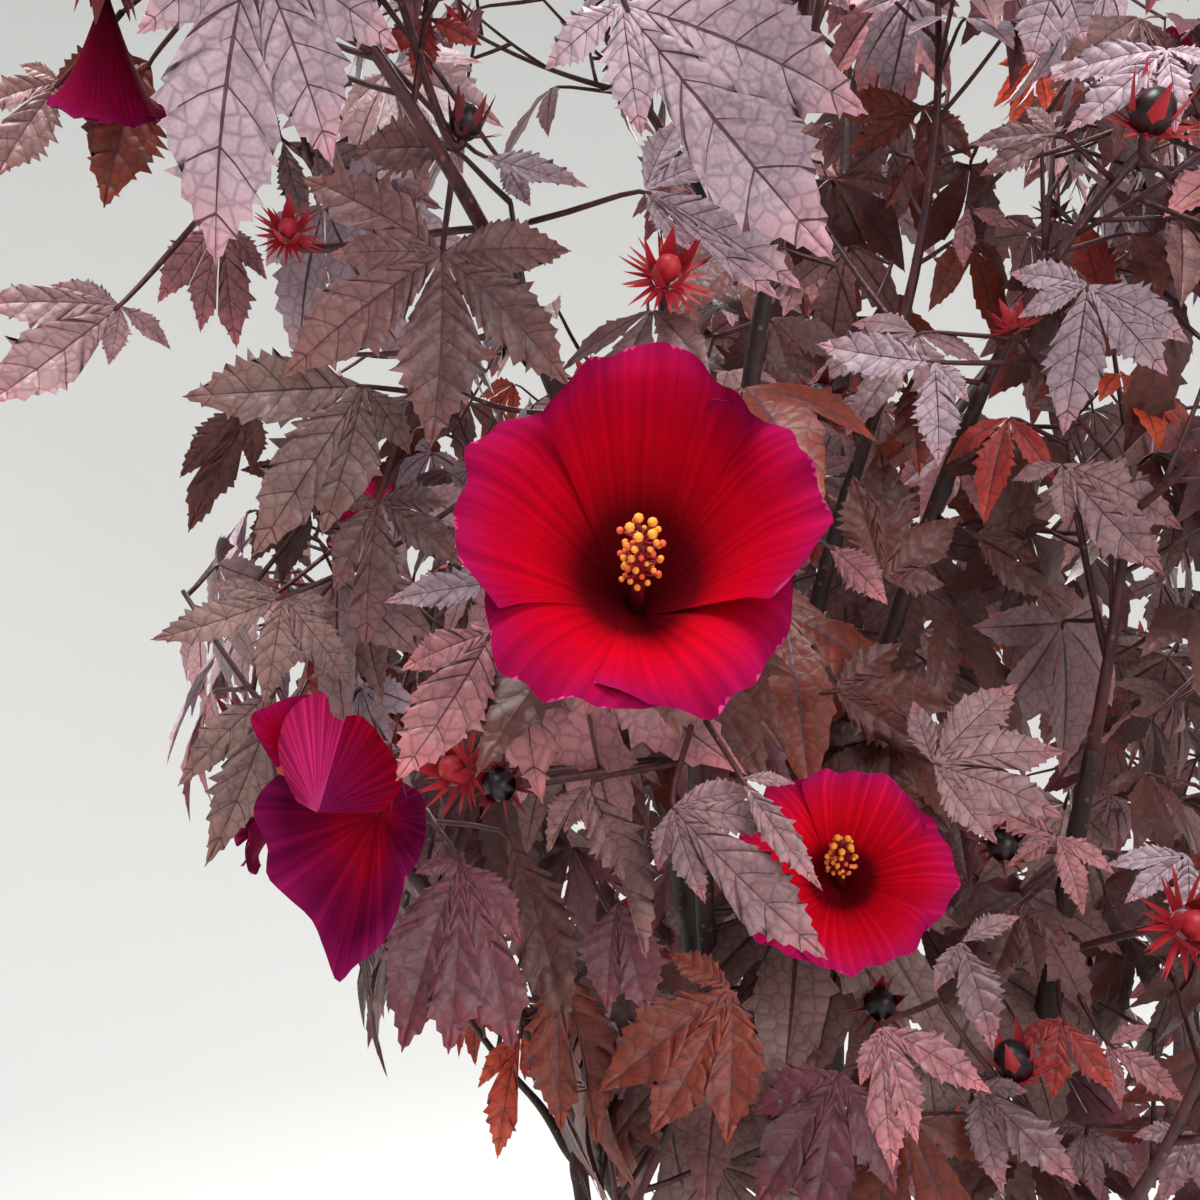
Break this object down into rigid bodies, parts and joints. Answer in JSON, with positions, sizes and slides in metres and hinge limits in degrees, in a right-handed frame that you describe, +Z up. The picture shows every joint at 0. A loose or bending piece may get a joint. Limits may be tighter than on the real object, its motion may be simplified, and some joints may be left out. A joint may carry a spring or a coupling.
{
  "type": "hibiscus shrub",
  "caption": "Upright maroon-leaved garden shrub with lobed toothed leaves and dark red funnel-shaped blooms, on canes from one short main stem rooted in level ground.",
  "frame": {"origin": "middle of the flat cut under the main stem, at ground level", "axes": "+Z up, -Y towards the side of the shrub that the picture shows, +X to the right seen from there"},
  "size_m": [0.8503, 0.9144, 1.8465],
  "materials": {
    "woody_bark": "rough grey-brown bark of the old main stem, with shallow cracks and warts",
    "young_bark": "smooth dark maroon bark of canes and boughs, with pale specks",
    "foliage": "satin maroon leaves with a dusty mauve sheen and sunken veins",
    "young_foliage": "satin red-orange young leaves",
    "blossom": "velvety crimson petals with fine rays and a dark maroon throat",
    "anthers": "grainy orange anthers on a dark red column",
    "seed_capsules": "bristly dark red calyces and near-black capsules"
  },
  "bodies": {
    "root": {"bough_back_low": "young_bark", "bough_back_right_foot": "young_bark", "bough_back_top": "young_bark", "bough_front_foot": "young_bark", "bough_front_left": "young_bark", "bough_front_low_left": "young_bark", "bough_front_low_right": "young_bark", "bough_front_middle": "young_bark", "bough_front_right_foot": "young_bark", "bough_front_rise": "young_bark", "bough_front_top": "young_bark", "bough_front_top_right": "young_bark", "bough_heart": "young_bark", "bough_left": "young_bark", "bough_left_foot": "young_bark", "bough_left_low": "young_bark", "bough_right_back": "young_bark", "bough_right_foot": "young_bark", "bough_right_low": "young_bark", "bough_top_left": "young_bark", "bough_top_right": "young_bark", "cane_back": "young_bark", "cane_front_right": "young_bark", "cane_front_top_left": "young_bark", "cane_left_back": "young_bark", "cane_right": "young_bark", "cane_top": "young_bark", "leaves_back": "foliage", "leaves_back_low": "foliage", "leaves_back_right_foot": "foliage", "leaves_back_top": "foliage", "leaves_front_foot": "foliage", "leaves_front_left": "foliage", "leaves_front_low_left": "foliage", "leaves_front_low_right": "foliage", "leaves_front_middle": "foliage", "leaves_front_right": "foliage", "leaves_front_right_foot": "foliage", "leaves_front_rise": "foliage", "leaves_front_top": "foliage", "leaves_front_top_left": "foliage", "leaves_front_top_right": "foliage", "leaves_heart": "foliage", "leaves_left": "foliage", "leaves_left_back": "foliage", "leaves_left_foot": "foliage", "leaves_left_low": "foliage", "leaves_right": "foliage", "leaves_right_back": "foliage", "leaves_right_foot": "foliage", "leaves_right_low": "foliage", "leaves_top": "foliage", "leaves_top_left": "foliage", "leaves_top_right": "foliage", "main_stem": "woody_bark"}
  },
  "joints": []
}
